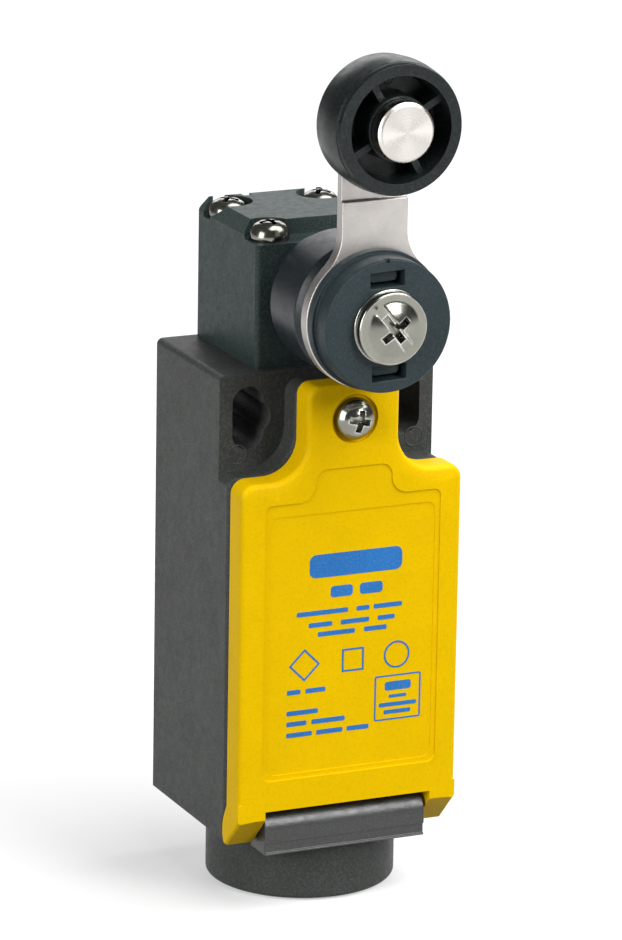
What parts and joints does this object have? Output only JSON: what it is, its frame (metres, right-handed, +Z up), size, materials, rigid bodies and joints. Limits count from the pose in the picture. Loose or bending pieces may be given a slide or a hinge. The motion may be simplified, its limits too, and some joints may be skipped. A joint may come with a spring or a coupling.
{
  "type": "limit switch",
  "caption": "Roller-lever limit switch: slim dark body with slotted fixing ears, hinged yellow cover, turret head, steel side lever with a ribbed roller, and a round threaded cable entry.",
  "frame": {"origin": "on the flat mounting face at the back, midway between the two fixing slots", "axes": "+Z up along the body and lever, -Y out of the cover and the lever's face, +Y into the mounting surface"},
  "size_m": [0.0308, 0.0429, 0.1136],
  "materials": {
    "body_plastic": "matte",
    "head_plastic": "matte",
    "boss_plastic": "satin",
    "hinge_plastic": "satin",
    "disc_plastic": "satin",
    "roller_plastic": "satin",
    "cover_plastic": "satin",
    "block_plastic": "matte",
    "carrier_plastic": "matte",
    "gasket_rubber": "matte",
    "stainless_plate": "brushed",
    "turned_steel": "brushed",
    "plated_steel": "satin",
    "spring_steel": "satin",
    "brass": "satin",
    "silver_contact": "satin",
    "guide_plastic": "satin"
  },
  "bodies": {
    "base": {"housing": "body_plastic", "hinge_bar": "hinge_plastic", "hinge_pin": "turned_steel", "cover_gasket": "gasket_rubber", "cover_insert": "brass", "head_housing": "head_plastic", "head_seal": "gasket_rubber", "head_screws": "plated_steel", "bearing_boss": "boss_plastic", "shaft_seal": "gasket_rubber", "return_spring": "spring_steel", "plunger_guide": "guide_plastic", "plunger_spring": "spring_steel", "contact_block": "block_plastic", "fixed_contacts": "silver_contact", "terminal_screws": "plated_steel", "wire_clamps": "plated_steel", "block_screws": "plated_steel", "contact_spring": "spring_steel"},
    "cover": {"front_cover": "cover_plastic", "cover_screw": "plated_steel"},
    "lever": {"lever_shaft": "turned_steel", "drive_cam": "turned_steel", "lever_arm": "stainless_plate", "clamp_disc": "disc_plastic", "screw_washer": "plated_steel", "lever_screw": "plated_steel", "roller_pin": "turned_steel"},
    "roller": {"roller": "roller_plastic"},
    "plunger": {"plunger": "brass"},
    "carrier": {"contact_carrier": "carrier_plastic", "contact_bridges": "silver_contact"}
  },
  "joints": [
    {"name": "lever_swing", "type": "hinge", "parent": "base", "child": "lever", "pos_m": [0, 0, 0.0154], "axis": [0, 1, 0], "range_deg": [-75, 75], "stiffness_Nm_per_rad": 0.1},
    {"name": "roller_spin", "type": "hinge", "parent": "lever", "child": "roller", "pos_m": [0, -0.0378, 0.0409], "axis": [0, 1, 0], "continuous": true},
    {"name": "cover_open", "type": "hinge", "parent": "base", "child": "cover", "pos_m": [0, -0.0256, -0.05335], "axis": [1, 0, 0], "range_deg": [0, 90]},
    {"name": "plunger_push", "type": "slide", "parent": "base", "child": "plunger", "axis": [0, 0, -1], "range_m": [0, 0.0013], "stiffness_N_per_m": 400, "springref_m": -0.002, "deforming": ["plunger_spring"]},
    {"name": "contact_travel", "type": "slide", "parent": "base", "child": "carrier", "axis": [0, 0, -1], "range_m": [0, 0.0013], "deforming": ["contact_spring"]}
  ],
  "couplings": [
    {"joint": "contact_travel", "follows": "plunger_push", "ratio": 1}
  ]
}
